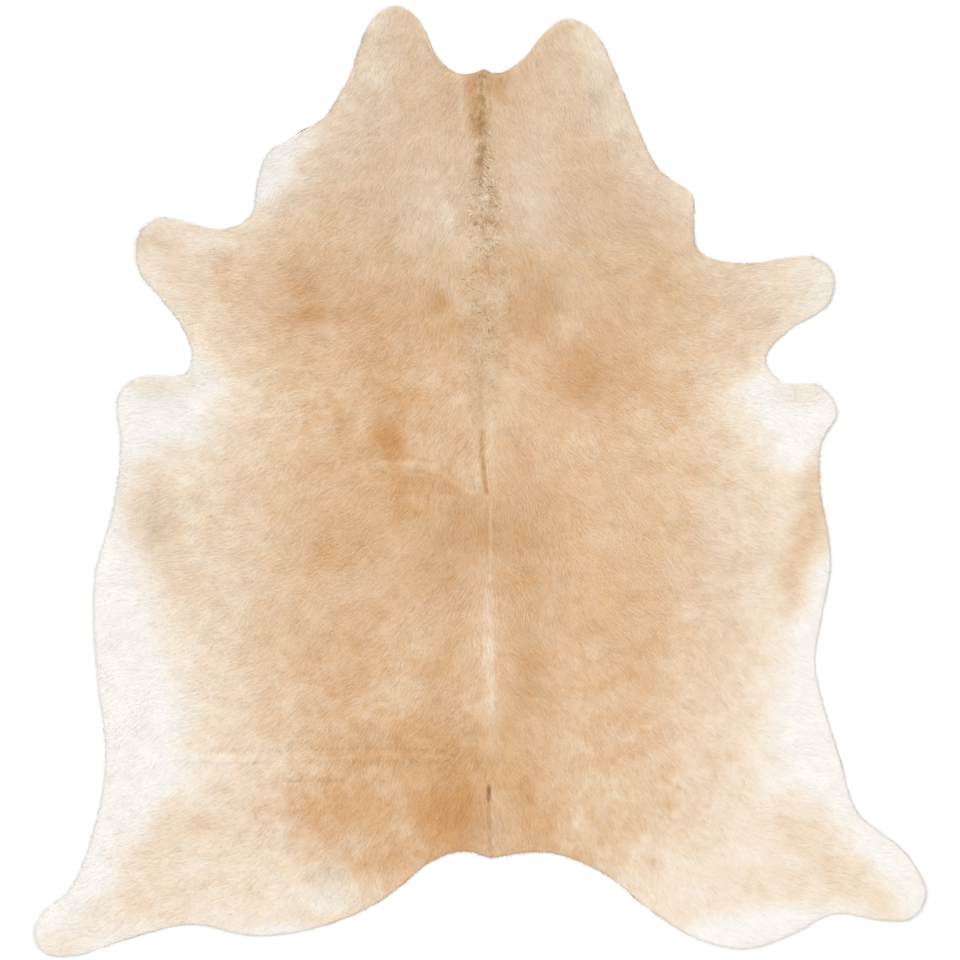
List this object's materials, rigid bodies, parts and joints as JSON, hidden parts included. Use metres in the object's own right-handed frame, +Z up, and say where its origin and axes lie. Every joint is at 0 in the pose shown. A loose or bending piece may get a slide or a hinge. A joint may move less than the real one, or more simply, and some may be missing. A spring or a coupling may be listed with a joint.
{
  "type": "cowhide rug",
  "caption": "Whole hair-on cowhide laid flat as a rug: tan coat paling to white at belly and feet, with its natural outline of neck, legs and tail root.",
  "frame": {"origin": "on the floor, under the middle of the hide's box", "axes": "+Y along the spine towards the neck, +X towards the animal's right side, +Z up from the floor, hair side up"},
  "size_m": [2.06, 2.1978, 0.0072],
  "materials": {
    "hair_on_hide": "short soft hair, mottled tan and caramel paling to cream white at the edges, with a low sheen; pale suede underneath"
  },
  "bodies": {
    "root": {"hide": "hair_on_hide"}
  },
  "joints": []
}
